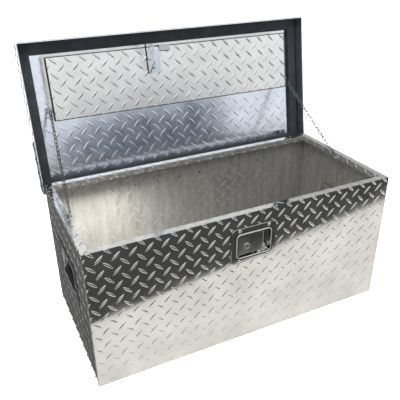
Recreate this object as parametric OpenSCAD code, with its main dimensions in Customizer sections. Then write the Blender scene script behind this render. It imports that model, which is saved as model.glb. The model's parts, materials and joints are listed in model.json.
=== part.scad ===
// Truck tool box: a welded chest of tread plate with a piano-hinged pan lid,
// a flush paddle latch, recessed folding handles and two lid chains.
// Millimetres. X runs to the right, the front faces -Y, Z is up.
// The origin is the centre of the underside. The lid is drawn standing open.

/* [Box] */
// Width of the box body
box_w = 762; // [650:1:900]
// Depth of the box body, front to back
box_d = 343; // [320:1:450]
// Height of the box body
box_h = 343; // [320:1:450]
// Thickness of the sheet
sheet = 2; // [1.6:0.1:2.5]
// Width of the rim that is folded inward
rim_w = 16; // [14:1:20]
// Height of the lip that is turned down from the rim
lip_h = 14; // [10:1:18]

/* [Lid] */
// Angle that the open lid stands at, from closed
open_angle = 100; // [90:1:105]
// Gap between the box sides and the lid skirts
skirt_gap = 2; // [1.5:0.5:3]
// Gap between the box front and the lid's front skirt
front_gap = 6; // [3:0.5:7]
// Height of the skirts, down from the top of the lid
skirt_h = 43; // [40:1:46]
// Thickness of the foam seal
seal_t = 12; // [8:1:14]
// Width of the foam seal along the back and the sides
seal_w = 26; // [20:1:28]
// Width of the foam seal along the front
seal_front_w = 29; // [24:1:29]

/* [Stiffener] */
// Width of the box channel under the lid
stiff_w = 654; // [500:1:670]
// Depth of the box channel, front to back
stiff_d = 146; // [100:1:160]
// Distance of its front face from the lid's front edge
stiff_inset = 38; // [38:1:42]
// How far it stands off the lid
stiff_h = 34; // [25:1:34]

/* [Latch] */
// Width of the latch flange
latch_w = 116; // [110:1:130]
// Height of the latch flange
latch_h = 90; // [80:1:100]
// Depth of the latch centre below the top of the box
latch_drop = 79; // [70:1:90]
// Depth of the dish that the paddle sits in
dish_depth = 14; // [12:1:16]

/* [Handles] */
// Width of the handle plate
handle_w = 160; // [150:1:180]
// Height of the handle plate
handle_h = 102; // [95:1:115]
// Height of the handle plate's centre
handle_z = 202; // [150:1:230]
// Depth of the pressed pan
pan_depth = 18; // [16:1:20]
// Radius of the vinyl grip
grip_r = 9; // [7:0.5:9]

/* [Chains] */
// Number of links in each chain
link_count = 25; // [21:2:29]
// Diameter of the link wire
link_wire = 2.2; // [1.8:0.1:2.4]

/* [Hidden] */
$fn = 48;

run_gap = 0.05;                       // radial clearance of a running fit
y_front = -box_d / 2;                 // outer face of the front wall
y_back = box_d / 2;                   // outer face of the back wall
x_wall = box_w / 2;                   // outer face of an end panel
x_lip = x_wall - rim_w;               // inner face of an end lip

// Piano hinge
knuckle_r = 3.8;
hinge_pin_r = 1.5;
knuckle_pitch = 31;
knuckle_count = 24;
hinge_len = knuckle_pitch * knuckle_count;
leaf_t = 1.5;
axis_y = y_back + knuckle_r + 0.2;
axis_z = box_h - 29;
rivet_r = 2;
hinge_rivet_count = 12;

// Lid, drawn closed and then turned open about the hinge
lid_top = axis_z + skirt_h + 0.3;     // outer face of the lid's top
lid_in = lid_top - sheet;             // inner face of the lid's top
lid_x = x_wall + skirt_gap;           // inner face of a side skirt
lid_front = y_front - front_gap;      // inner face of the front skirt
lid_back = axis_y - 0.4;              // inner face of the back skirt
stiff_front = lid_front - sheet + stiff_inset;
stiff_back = stiff_front + stiff_d;
stiff_face = lid_in - stiff_h;        // lower face of the closed stiffener
stiff_t = 1.6;
stiff_flange = 6;

// Latch
latch_z = box_h - latch_drop;
gasket_t = 1;
flange_t = 1.2;
dish_w = 88;
dish_h = 60;
dish_t = 1.5;
dish_r = 7;
bead_w = 3;
bead_h = 2.5;
y_flange = y_front - gasket_t - flange_t;
y_dish = y_front + dish_depth;        // back of the dish floor
stud_x = 37;
stud_z = 39;
pivot_x = -35;
pivot_y = y_front + 6;
pivot_r = 2;
paddle_x = 27;                        // free end of the paddle
paddle_h = 49;
lock_x = -17;
lock_z = latch_z - 4;
lock_r = 8;
plug_r = 4.5;
bolt_y = y_front + 30.5;
bolt_z = latch_z + 18;
housing_left = -66;
housing_right = 46;
housing_y = y_front + 38;
housing_h = 66;
housing_t = 1.5;

// Striker on the lid
leg_x = -80;
leg_t = 3;
strike_w = 34;
strike_back = stiff_front + 63;
strike_front = stiff_front + 6;
leg_front = -149;
leg_low = bolt_z - 12;

// Handles
pan_half_w = 58;
pan_low = 160;
pan_high = 234;
pan_t = 1.5;
handle_x = x_wall - 7;                // depth of the bail's pivot axis
bail_rod_r = 3;
bail_pivot_z = 222;
grip_z = 176;
grip_len = 92;
bail_arm_y = 51;

// Chains
eye_r = 4;
eye_wire = 1.2;
chain_box = [x_lip - 5.5, 0, box_h - 8];
chain_lid_closed = [stiff_w / 2 + 7, axis_y - 194, axis_z + 19];
function turned_open(p) = [
    p[0],
    axis_y + (p[1] - axis_y) * cos(open_angle) + (p[2] - axis_z) * sin(open_angle),
    axis_z - (p[1] - axis_y) * sin(open_angle) + (p[2] - axis_z) * cos(open_angle)];
chain_lid = turned_open(chain_lid_closed);
chain_vec = chain_lid - chain_box;
chain_len = norm(chain_vec);
chain_tilt = acos(chain_vec[2] / chain_len);
chain_turn = atan2(chain_vec[1], chain_vec[0]);
link_slack = 0.15;
first_link = eye_r - eye_wire - link_wire / 2 - link_slack;
link_pitch = (chain_len - 2 * first_link - link_wire - link_slack) / link_count;
link_inner = link_pitch + link_slack;
link_half_w = 2.9;                    // wire centre to link centre, sideways

// ---- helpers ----

// Rounded rectangle about the origin
module rrect(w, h, r) {
    square([w - 2 * r, h], center = true);
    square([w, h - 2 * r], center = true);
    for (sx = [-1, 1], sy = [-1, 1])
        translate([sx * (w / 2 - r), sy * (h / 2 - r)]) circle(r);
}

// Plate parallel to the front wall, from y1 to y2, about x = 0 and the height z
module front_plate(y1, y2, z) {
    translate([0, y2, z]) rotate([90, 0, 0]) linear_extrude(y2 - y1) children();
}

// Plate parallel to the end wall at the right, from x1 to x2: the outline is drawn as (y, z)
module end_plate(x1, x2) {
    translate([x1, 0, 0]) rotate([90, 0, 90]) linear_extrude(x2 - x1) children();
}

// Box between two corners
module block(a, b) {
    translate(a) cube(b - a);
}

// Round rod between two heights on the Z axis, shifted to p
module rod_z(p, r, h) {
    translate(p) cylinder(h = h, r = r);
}

// Rivet along +Z: a domed head above z = 0, a shank down through the stack, and a tail
module rivet(stack, head_r = 4.2, head_h = 1.6, tail_h = 1.5) {
    dome_r = (head_r * head_r + head_h * head_h) / (2 * head_h);
    intersection() {
        translate([0, 0, head_h - dome_r]) sphere(dome_r);
        cylinder(h = head_h, r = head_r);
    }
    translate([0, 0, -stack - tail_h]) cylinder(h = stack + tail_h, r = rivet_r);
    translate([0, 0, -stack - tail_h]) cylinder(h = tail_h, r = rivet_r + 1);
}

// Hole for such a rivet
module rivet_hole(depth) {
    translate([0, 0, -depth]) cylinder(h = 2 * depth, r = rivet_r + run_gap);
}

// The same for the left end as for the right
module on_side(side) {
    if (side < 0) mirror([1, 0, 0]) children();
    else children();
}

// Turns what is drawn on the closed lid to where the open lid is
module lid_open() {
    translate([0, axis_y, axis_z]) rotate([-open_angle, 0, 0])
        translate([0, -axis_y, -axis_z]) children();
}

function spread(n, length) = [for (i = [0:n - 1]) (i - (n - 1) / 2) * length / n];

// ---- box body ----

module handle_rivet_places() {
    for (y = [-72, 72], z = [handle_z - 41, handle_z, handle_z + 38]) translate([0, y, z]) children();
    for (y = [-23, 23]) translate([0, y, handle_z + 42]) children();
}

module end_panel(side) {
    color("lightgray") on_side(side) difference() {
        union() {
            end_plate(x_wall - sheet, x_wall) translate([y_front, 0]) square([box_d, box_h]);
            translate([0, 0, box_h - sheet]) linear_extrude(sheet) polygon([
                [x_wall - sheet, y_front], [x_wall, y_front], [x_wall, y_back],
                [x_wall - sheet, y_back], [x_lip, y_back - rim_w], [x_lip, y_front + rim_w]]);
            block([x_lip, y_front + rim_w - sheet, box_h - lip_h],
                  [x_lip + sheet, y_back - rim_w + sheet, box_h - sheet]);
        }
        end_plate(x_wall - sheet - 1, x_wall + 1)
            translate([0, (pan_low + pan_high) / 2])
                rrect(2 * pan_half_w + 2, pan_high - pan_low + 2, 9);
        handle_rivet_places() translate([x_wall, 0, 0]) rotate([0, 90, 0]) rivet_hole(5);
    }
}

// Front rim: flange with mitred ends, and the lip turned down from it
module rim_strip() {
    half = x_wall - sheet;
    translate([0, 0, box_h - sheet]) linear_extrude(sheet) polygon([
        [-half, y_front], [half, y_front], [x_lip, y_front + rim_w], [-x_lip, y_front + rim_w]]);
    block([-x_lip, y_front + rim_w - sheet, box_h - lip_h], [x_lip, y_front + rim_w, box_h - sheet]);
}

module wrap_sheet() {
    half = x_wall - sheet;
    color("lightgray") difference() {
        union() {
            block([-half, y_front, 0], [half, y_front + sheet, box_h]);
            block([-half, y_back - sheet, 0], [half, y_back, box_h]);
            block([-half, y_front, 0], [half, y_back, sheet]);
            rim_strip();
            mirror([0, 1, 0]) rim_strip();
        }
        front_plate(y_front - 1, y_front + sheet + 1, latch_z) rrect(dish_w + 3, dish_h + 3, dish_r + 1);
        for (sx = [-1, 1], sz = [-1, 1])
            translate([sx * stud_x, y_front, latch_z + sz * stud_z]) rotate([90, 0, 0]) rivet_hole(5);
        for (x = spread(hinge_rivet_count, hinge_len))
            translate([x, y_back, axis_z - 22]) rotate([90, 0, 0]) rivet_hole(5);
    }
}

// ---- piano hinge ----

module knuckles(odd) {
    for (i = [odd:2:knuckle_count - 1])
        translate([-hinge_len / 2 + i * knuckle_pitch + 0.2, axis_y, axis_z])
            rotate([0, 90, 0]) cylinder(h = knuckle_pitch - 0.4, r = knuckle_r);
}

module hinge_bore() {
    translate([-hinge_len / 2 - 1, axis_y, axis_z]) rotate([0, 90, 0])
        cylinder(h = hinge_len + 2, r = hinge_pin_r + run_gap);
}

module hinge_leaf_box() {
    color("silver") difference() {
        union() {
            block([-hinge_len / 2, y_back, axis_z - 36],
                  [hinge_len / 2, y_back + leaf_t, axis_z - knuckle_r - 0.5]);
            for (i = [0:2:knuckle_count - 1])
                block([-hinge_len / 2 + i * knuckle_pitch + 0.2, y_back, axis_z - knuckle_r - 0.5],
                      [-hinge_len / 2 + (i + 1) * knuckle_pitch - 0.2, y_back + leaf_t, axis_z]);
            knuckles(0);
        }
        hinge_bore();
        for (x = spread(hinge_rivet_count, hinge_len))
            translate([x, y_back, axis_z - 22]) rotate([90, 0, 0]) rivet_hole(5);
    }
}

module hinge_pin() {
    color("gray") translate([-hinge_len / 2 - 1.5, axis_y, axis_z]) rotate([0, 90, 0])
        cylinder(h = hinge_len + 3, r = hinge_pin_r);
}

module hinge_rivets_box() {
    color("silver") for (x = spread(hinge_rivet_count, hinge_len))
        translate([x, y_back + leaf_t, axis_z - 22]) rotate([-90, 0, 0]) rivet(sheet + leaf_t);
}

module hinge_leaf_lid() {
    y_out = lid_back;
    color("silver") lid_open() difference() {
        union() {
            block([-hinge_len / 2, y_out - leaf_t, axis_z + knuckle_r + 0.5],
                  [hinge_len / 2, y_out, box_h - 1]);
            for (i = [1:2:knuckle_count - 1])
                block([-hinge_len / 2 + i * knuckle_pitch + 0.2, y_out - leaf_t, axis_z],
                      [-hinge_len / 2 + (i + 1) * knuckle_pitch - 0.2, y_out,
                       axis_z + knuckle_r + 0.5]);
            knuckles(1);
        }
        hinge_bore();
        for (x = spread(hinge_rivet_count, hinge_len))
            translate([x, y_out, axis_z + 17]) rotate([90, 0, 0]) rivet_hole(5);
    }
}

module hinge_rivets_lid() {
    color("silver") lid_open() for (x = spread(hinge_rivet_count, hinge_len))
        translate([x, lid_back + sheet, axis_z + 17]) rotate([-90, 0, 0])
            rivet(sheet + leaf_t, tail_h = 1);
}

// ---- lid ----

module lid_shell() {
    color("lightgray") lid_open() difference() {
        block([-lid_x - sheet, lid_front - sheet, axis_z], [lid_x + sheet, lid_back + sheet, lid_top]);
        block([-lid_x, lid_front, axis_z - 1], [lid_x, lid_back, lid_in]);
        block([-lid_x, lid_back - 1, axis_z - 1], [lid_x, lid_back + sheet + 1, axis_z + knuckle_r + 1]);
        for (x = spread(hinge_rivet_count, hinge_len))
            translate([x, lid_back + sheet, axis_z + 17]) rotate([90, 0, 0]) rivet_hole(5);
    }
}

seal_gap = 0.3;
module seal_strip(x1, x2, y1, y2) {
    color("#303336") lid_open() block([x1, y1, lid_in - seal_t], [x2, y2, lid_in]);
}

module seal_side(side) {
    inner = lid_x - seal_w;
    outer = lid_x - seal_gap;
    x1 = side < 0 ? -outer : inner;
    seal_strip(x1, x1 + outer - inner, lid_front + seal_gap, lid_back - seal_gap);
}

module seal_cross(y1, y2) {
    inner = lid_x - seal_w;
    seal_strip(-inner, inner, y1, y2);
}

// Box channel of tread plate that stiffens the lid, open towards it
module stiffener() {
    half = stiff_w / 2;
    color("lightgray") lid_open() difference() {
        union() {
            block([-half, stiff_front, stiff_face], [half, stiff_back, lid_in]);
            block([-half - stiff_flange, stiff_front - stiff_flange, lid_in - stiff_t],
                  [half + stiff_flange, stiff_back + stiff_flange, lid_in]);
        }
        block([-half + stiff_t, stiff_front + stiff_t, stiff_face + stiff_t],
              [half - stiff_t, stiff_back - stiff_t, lid_in + 1]);
        striker_screw_places() rivet_hole(5);
    }
}

module striker_screw_places() {
    for (y = [strike_front + 14, strike_back - 14]) translate([leg_x + 16, y, stiff_face]) children();
}

// Bracket on the stiffener: a slotted base and a leg that takes the bolt
module striker() {
    color("#aab4c4") lid_open() difference() {
        union() {
            block([leg_x, strike_front, stiff_face - 2.5],
                  [leg_x + strike_w, strike_back, stiff_face]);
            end_plate(leg_x, leg_x + leg_t) polygon([
                [strike_front, stiff_face], [strike_back, stiff_face], [strike_back, stiff_face - 10],
                [strike_back - 30, leg_low], [leg_front + 4, leg_low], [leg_front, leg_low + 4],
                [leg_front, bolt_z + 10], [strike_front, stiff_face - 14]]);
        }
        block([leg_x - 1, bolt_y - 5, bolt_z - 7], [leg_x + leg_t + 1, bolt_y + 5, bolt_z + 7]);
        striker_screw_places() translate([0, 0, -5]) cylinder(h = 10, r = rivet_r + run_gap);
        block([leg_x + 13.8, strike_front + 22, stiff_face - 3],
              [leg_x + 18.2, strike_front + 36, stiff_face + 1]);
    }
}

module striker_screws() {
    color("silver") lid_open() striker_screw_places() translate([0, 0, -2.5]) rotate([180, 0, 0])
        rivet(2.5 + stiff_t, head_r = 5, head_h = 2);
}

// Small angle clip on the stiffener's front edge, beside the striker
module stop_clip() {
    x1 = leg_x + 34.5;
    x2 = x1 + 28.5;
    clip_t = 1.5;
    color("whitesmoke") lid_open() {
        block([x1, stiff_front - clip_t, stiff_face - clip_t],
              [x2, stiff_front + 12, stiff_face]);
        block([x1, stiff_front - clip_t, stiff_face - clip_t],
              [x2, stiff_front, stiff_face + 18]);
    }
}

// ---- latch ----

module latch_gasket() {
    color("#202020") difference() {
        front_plate(y_front - gasket_t, y_front, latch_z) rrect(latch_w + 1, latch_h + 1, 14);
        front_plate(y_front - gasket_t - 1, y_front + 1, latch_z)
            rrect(dish_w + 3, dish_h + 3, dish_r + 1);
        for (sx = [-1, 1], sz = [-1, 1])
            translate([sx * stud_x, y_front, latch_z + sz * stud_z]) rotate([90, 0, 0]) rivet_hole(5);
    }
}

// Pressed flange with a raised bead and a recessed dish
module latch_dish() {
    color("silver") difference() {
        union() {
            front_plate(y_flange, y_flange + flange_t, latch_z) rrect(latch_w, latch_h, 14);
            front_plate(y_flange - bead_h, y_flange, latch_z)
                rrect(dish_w + 2 * bead_w, dish_h + 2 * bead_w, dish_r + bead_w);
            front_plate(y_flange, y_dish, latch_z) rrect(dish_w, dish_h, dish_r);
        }
        front_plate(y_flange - bead_h - 1, y_dish - dish_t, latch_z)
            rrect(dish_w - 2 * dish_t, dish_h - 2 * dish_t, dish_r - dish_t);
        block([pivot_x - 4, y_dish - dish_t - 1, latch_z - 5.5],
              [pivot_x + 9, y_dish + 1, latch_z + 5.5]);
        block([lock_x - 8, y_dish - dish_t - 1, lock_z - 17], [lock_x + 20, y_dish + 1, lock_z + 17]);
        rod_z([pivot_x, pivot_y, latch_z - dish_h], pivot_r + run_gap, 2 * dish_h);
        for (sx = [-1, 1], sz = [-1, 1])
            translate([sx * stud_x, y_front, latch_z + sz * stud_z]) rotate([90, 0, 0]) rivet_hole(5);
    }
}

// Domed studs through the flange, each with a nut behind the housing's base
module latch_studs() {
    color("silver") for (sx = [-1, 1], sz = [-1, 1])
        translate([sx * stud_x, y_flange, latch_z + sz * stud_z]) rotate([90, 0, 0])
            rivet(flange_t + gasket_t + sheet + housing_t, tail_h = 3);
}

// Folded cover behind the dish: a base plate on the studs, a box that holds the bolt,
// and a web inside it that the bolt's spring bears on
module latch_housing() {
    y1 = y_front + sheet;
    z1 = latch_z - housing_h / 2;
    z2 = latch_z + housing_h / 2;
    web_x = 14;
    color("gainsboro") difference() {
        union() {
            block([housing_left, y1, z1], [housing_right, housing_y, z2]);
            front_plate(y1, y1 + housing_t, latch_z) rrect(latch_w - 14, latch_h + 2, 6);
        }
        difference() {
            block([housing_left + housing_t, y1 - 1, z1 + housing_t],
                  [housing_right - housing_t, housing_y - housing_t, z2 - housing_t]);
            block([web_x, bolt_y - 8, bolt_z - 8], [web_x + 2, housing_y, bolt_z + 8]);
        }
        block([housing_left - 1, bolt_y - 3.8, bolt_z - 5.3],
              [housing_left + housing_t + 1, bolt_y + 3.8, bolt_z + 5.3]);
        translate([web_x - 1, bolt_y, bolt_z]) rotate([0, 90, 0]) cylinder(h = 4, r = 2.7);
        for (sx = [-1, 1], sz = [-1, 1])
            translate([sx * stud_x, y1, latch_z + sz * stud_z]) rotate([90, 0, 0]) rivet_hole(5);
    }
}

module paddle_pin() {
    color("gray") rod_z([pivot_x, pivot_y, latch_z - dish_h / 2 - 0.8], pivot_r, dish_h + 1.6);
}

// Torsion spring round the pin above the paddle's barrel, as its coils
module paddle_spring() {
    color("gray") for (i = [0:2]) translate([pivot_x, pivot_y, latch_z + 25.3 + 1.2 * i])
        rotate_extrude() translate([3, 0]) circle(r = 0.5, $fn = 16);
}

// Paddle plate with a pivot barrel at its left end and a tail that draws the bolt
module paddle() {
    low = latch_z - paddle_h / 2;
    color("silver") difference() {
        union() {
            block([pivot_x - 2, y_front - 0.5, low], [paddle_x - 3, y_front + 2, low + paddle_h]);
            rod_z([paddle_x - 3, y_front + 2.5, low], 3, paddle_h);
            rod_z([pivot_x, pivot_y, low], 4.5, paddle_h);
            block([pivot_x - 3, y_front, low], [pivot_x + 3, pivot_y, low + paddle_h]);
            block([pivot_x - 2, pivot_y, latch_z - 4], [pivot_x + 2, bolt_y + 1, latch_z + 4]);
        }
        rod_z([pivot_x, pivot_y, low - 1], pivot_r + run_gap, paddle_h + 2);
        translate([lock_x, y_front, lock_z]) rotate([90, 0, 0])
            cylinder(h = 20, r = lock_r - 1.5 + run_gap, center = true);
    }
}

// Lock body: a rim on the paddle's face and a sleeve through it
module lock_barrel() {
    color("gainsboro") translate([lock_x, y_front - 0.5, lock_z]) rotate([-90, 0, 0]) difference() {
        union() {
            translate([0, 0, -1.8]) cylinder(h = 1.8, r = lock_r);
            cylinder(h = 11, r = lock_r - 1.5);
        }
        translate([0, 0, -3]) cylinder(h = 16, r = plug_r + run_gap);
    }
}

// Turning core of the lock with its key slot
module lock_plug() {
    color("silver") translate([lock_x, y_front - 0.5, lock_z]) rotate([-90, 0, 0]) difference() {
        translate([0, 0, -1.3]) cylinder(h = 16.3, r = plug_r);
        translate([-0.6, -3, -2]) cube([1.2, 6, 6]);
    }
}

// Cam on the inner end of the plug
module lock_cam() {
    y1 = y_dish + 1.5;
    color("gray") block([lock_x - 4, y1, lock_z - 4], [lock_x + 14, y1 + 2, lock_z + 4]);
}

// Spring bolt with a sloped nose, a drive lug and a spring rod
module slide_bolt() {
    lug_x = pivot_x + 2.4;
    color("#aab4c4") {
        front_plate(bolt_y - 3.5, bolt_y + 3.5, bolt_z) polygon([
            [-86, -5], [-11, -5], [-11, 5], [-77, 5], [-86, -3]]);
        block([lug_x, bolt_y - 3.5, latch_z - 5], [lug_x + 5, bolt_y + 3.5, bolt_z - 5]);
        translate([-11, bolt_y, bolt_z]) rotate([0, 90, 0]) cylinder(h = 32, r = 2.2);
    }
}

// Return spring of the bolt, as its separate coils
module bolt_spring() {
    color("gray") for (i = [0:6]) translate([-9.4 + i * 3.6, bolt_y, bolt_z]) rotate([0, 90, 0])
        rotate_extrude() translate([3.6, 0]) circle(r = 0.6, $fn = 16);
}

// ---- handles ----

// Flanged plate with a pressed pan that the folded bail lies in
module handle_pan(side) {
    pan_z = (pan_low + pan_high) / 2;
    pan_h = pan_high - pan_low;
    floor_x = x_wall - pan_depth;
    color("silver") on_side(side) difference() {
        union() {
            end_plate(x_wall, x_wall + pan_t) translate([0, handle_z]) rrect(handle_w, handle_h, 12);
            end_plate(floor_x, x_wall + pan_t) translate([0, pan_z]) rrect(2 * pan_half_w, pan_h, 8);
        }
        end_plate(floor_x + pan_t, x_wall + pan_t + 1)
            translate([0, pan_z]) rrect(2 * (pan_half_w - pan_t), pan_h - 2 * pan_t, 8 - pan_t);
        translate([handle_x, 0, bail_pivot_z]) rotate([90, 0, 0])
            cylinder(h = 3 * pan_half_w, r = bail_rod_r + run_gap, center = true);
        handle_rivet_places() translate([x_wall, 0, 0]) rotate([0, 90, 0]) rivet_hole(5);
    }
}

module handle_rivets(side) {
    color("silver") on_side(side) handle_rivet_places()
        translate([x_wall + pan_t, 0, 0]) rotate([0, 90, 0]) rivet(pan_t + sheet);
}

// Bent rod: stubs in the pan's sides, two arms, and the bar inside the grip
module bail(side) {
    color("gray") on_side(side) {
        translate([handle_x, 0, grip_z]) rotate([90, 0, 0])
            cylinder(h = 2 * bail_arm_y, r = bail_rod_r, center = true);
        for (s = [-1, 1]) {
            rod_z([handle_x, s * bail_arm_y, grip_z], bail_rod_r, bail_pivot_z - grip_z);
            for (z = [grip_z, bail_pivot_z])
                translate([handle_x, s * bail_arm_y, z]) sphere(bail_rod_r);
            translate([handle_x, s * (bail_arm_y + 5.5), bail_pivot_z]) rotate([90, 0, 0])
                cylinder(h = 11, r = bail_rod_r, center = true);
        }
    }
}

module grip(side) {
    color("#15161a") on_side(side) translate([handle_x, 0, grip_z]) rotate([90, 0, 0]) difference() {
        cylinder(h = grip_len, r = grip_r, center = true);
        cylinder(h = grip_len + 2, r = bail_rod_r + run_gap, center = true);
    }
}

// ---- chains ----

// Frame at p whose Z axis lies along the chain
module along_chain(p) {
    translate(p) rotate([0, 0, chain_turn]) rotate([0, chain_tilt, 0]) children();
}

module link() {
    straight = link_inner - 2 * (link_half_w - link_wire / 2);
    for (s = [0, 180]) rotate([0, s, 0]) {
        translate([0, 0, straight / 2]) rotate([90, 0, 0])
            rotate_extrude(angle = 180) translate([link_half_w, 0]) circle(r = link_wire / 2, $fn = 24);
        translate([link_half_w, 0, -straight / 2]) cylinder(h = straight, r = link_wire / 2, $fn = 24);
    }
}

module chain(side) {
    start = first_link + link_inner / 2 + link_wire / 2;
    color("silver") on_side(side) along_chain(chain_box) for (i = [0:link_count - 1])
        translate([0, 0, start + i * link_pitch]) rotate([0, 0, 90 * (i % 2)]) link();
}

// Screw eye: a ring in the chain's line on a round foot against the sheet
module screw_eye(p, foot_x, foot_t) {
    along_chain(p) rotate([0, 90, 0]) rotate_extrude() translate([eye_r, 0]) circle(r = eye_wire);
    translate([foot_x, p[1], p[2]]) rotate([0, 90, 0]) cylinder(h = foot_t, r = 5);
}

module chain_anchor_box(side) {
    color("silver") on_side(side) screw_eye(chain_box, x_lip - 1.6, 1.6);
}

module chain_anchor_lid(side) {
    color("silver") on_side(side) screw_eye(chain_lid, stiff_w / 2, 3.2);
}

// ---- parts ----

end_panel(-1);  // end_panel_left
end_panel(1);  // end_panel_right
wrap_sheet();
hinge_leaf_box();
hinge_pin();
hinge_rivets_box();
latch_gasket();
latch_dish();
latch_studs();
latch_housing();
paddle_pin();
paddle_spring();
bolt_spring();
handle_pan(-1);  // handle_pan_left
handle_pan(1);  // handle_pan_right
handle_rivets(-1);  // handle_rivets_left
handle_rivets(1);  // handle_rivets_right
chain_anchor_box(-1);  // chain_anchor_box_left
chain_anchor_box(1);  // chain_anchor_box_right
chain(-1);  // chain_left
chain(1);  // chain_right
lid_shell();
seal_cross(lid_front + seal_gap, lid_front + seal_front_w);  // seal_front
seal_cross(lid_back - seal_w, lid_back - seal_gap);  // seal_back
seal_side(-1);  // seal_left
seal_side(1);  // seal_right
stiffener();
striker();
striker_screws();
stop_clip();
hinge_leaf_lid();
hinge_rivets_lid();
chain_anchor_lid(-1);  // chain_anchor_lid_left
chain_anchor_lid(1);  // chain_anchor_lid_right
paddle();
lock_barrel();
lock_plug();
lock_cam();
slide_bolt();
bail(-1);  // bail_left
bail(1);  // bail_right
grip(-1);  // grip_left
grip(1);  // grip_right
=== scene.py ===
"""Looks of the truck tool box: tread plate, foam seal, latch, handles, chains and the studio."""

import json
import math
import random

import bmesh
import bpy
from mathutils import Matrix, Vector
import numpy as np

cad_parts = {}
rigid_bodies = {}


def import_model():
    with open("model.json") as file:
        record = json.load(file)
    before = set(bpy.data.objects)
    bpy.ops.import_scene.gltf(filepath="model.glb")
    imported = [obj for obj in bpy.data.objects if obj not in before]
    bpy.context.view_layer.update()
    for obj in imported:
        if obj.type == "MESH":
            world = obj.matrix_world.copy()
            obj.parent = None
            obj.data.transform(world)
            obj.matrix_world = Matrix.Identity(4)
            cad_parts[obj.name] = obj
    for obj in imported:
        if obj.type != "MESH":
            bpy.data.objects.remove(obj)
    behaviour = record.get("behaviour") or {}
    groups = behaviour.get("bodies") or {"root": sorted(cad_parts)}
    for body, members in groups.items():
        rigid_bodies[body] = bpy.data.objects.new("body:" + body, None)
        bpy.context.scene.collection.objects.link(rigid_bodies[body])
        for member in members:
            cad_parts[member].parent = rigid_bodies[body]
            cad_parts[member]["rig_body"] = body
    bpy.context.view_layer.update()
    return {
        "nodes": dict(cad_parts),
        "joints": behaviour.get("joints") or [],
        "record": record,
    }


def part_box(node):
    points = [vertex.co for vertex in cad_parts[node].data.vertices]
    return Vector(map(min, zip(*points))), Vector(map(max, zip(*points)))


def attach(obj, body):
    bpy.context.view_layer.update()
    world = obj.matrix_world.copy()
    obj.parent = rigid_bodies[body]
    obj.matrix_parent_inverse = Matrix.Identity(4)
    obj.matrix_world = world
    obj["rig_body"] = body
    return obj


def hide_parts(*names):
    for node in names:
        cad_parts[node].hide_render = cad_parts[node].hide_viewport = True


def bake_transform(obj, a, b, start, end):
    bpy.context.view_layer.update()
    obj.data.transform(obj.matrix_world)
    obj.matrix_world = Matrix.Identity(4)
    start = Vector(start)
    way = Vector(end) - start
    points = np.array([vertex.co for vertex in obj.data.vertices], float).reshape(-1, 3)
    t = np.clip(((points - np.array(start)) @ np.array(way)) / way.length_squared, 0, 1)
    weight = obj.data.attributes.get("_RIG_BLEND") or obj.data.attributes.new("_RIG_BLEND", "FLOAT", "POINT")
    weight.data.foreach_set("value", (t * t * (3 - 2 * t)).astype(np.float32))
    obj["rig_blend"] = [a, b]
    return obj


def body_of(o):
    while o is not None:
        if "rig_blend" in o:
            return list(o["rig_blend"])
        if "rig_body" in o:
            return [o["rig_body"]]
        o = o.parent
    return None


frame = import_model()
NODES = frame["nodes"]
JOINTS = {j["name"]: j for j in frame["joints"]}

X, Y, Z = Vector((1, 0, 0)), Vector((0, 1, 0)), Vector((0, 0, 1))
MM = 0.001

# The lid is packed open. LID_OPEN turns what is built on the closed lid to its place at rest.
HINGE = JOINTS["lid_hinge"]
HINGE_AT = Vector(HINGE["pos_m"])
LID_OPEN = (
    Matrix.Translation(HINGE_AT)
    @ Matrix.Rotation(-math.radians(HINGE["range_deg"][1]), 4, "X")
    @ Matrix.Translation(-HINGE_AT)
)
LID_CLOSED = LID_OPEN.inverted()


def closed_box(node):
    """Lowest and highest corner of a lid node, as it is when the lid is closed."""
    points = [LID_CLOSED @ v.co for v in NODES[node].data.vertices]
    low = Vector(min(p[i] for p in points) for i in range(3))
    high = Vector(max(p[i] for p in points) for i in range(3))
    return low, high


# ---------------------------------------------------------------- studio

CAMERA_AZIMUTH, CAMERA_ELEVATION, CAMERA_ROLL = -25.67, 27.71, -0.58
CAMERA_DISTANCE = 1.26
CAMERA_TARGET = Vector((-0.0489, 0, 0.3021))
CAMERA_LENS = 46.8
SENSOR_WIDTH = 36

STUDIO_HALF = 12  # half the floor's side, and the height of the backdrop
FLOOR_COLOUR = (0.93, 0.93, 0.93)
FLOOR_GLOW = 0.46
WORLD_BEHIND = (0.42, 0.42, 0.42)
WORLD_FRONT = (0.89, 0.905, 0.93)
WORLD_BEHIND_FROM, WORLD_FRONT_FROM = 0.2, -0.8  # along y
WORLD_AT_HORIZON, WORLD_OVERHEAD = 0.95, 1.7

# Cards that only the metal mirrors: their colours, and the edges that several of them share
BLACK, WHITE = (0, 0, 0), (1, 1, 1)
NEAR_GLOW = (0.93, 0.91, 0.85)
DARK = (0.02, 0.02, 0.019)
FAR_GREY = (0.08, 0.08, 0.08)
SIDE_GREY = (0.5, 0.5, 0.49)
LEFT_FLOOR_GREY = (0.06, 0.06, 0.058)
LEFT_SIDE_GREY = (0.12, 0.12, 0.12)
BAND_BLUE = (0.06, 0.075, 0.1)
BODY_LEFT, BODY_RIGHT, BODY_FRONT = -0.384, 0.384, -0.16
CARDS_LEFT, CARDS_RIGHT = -3.2, 4
CARD_HEIGHT = 1 * MM


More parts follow.
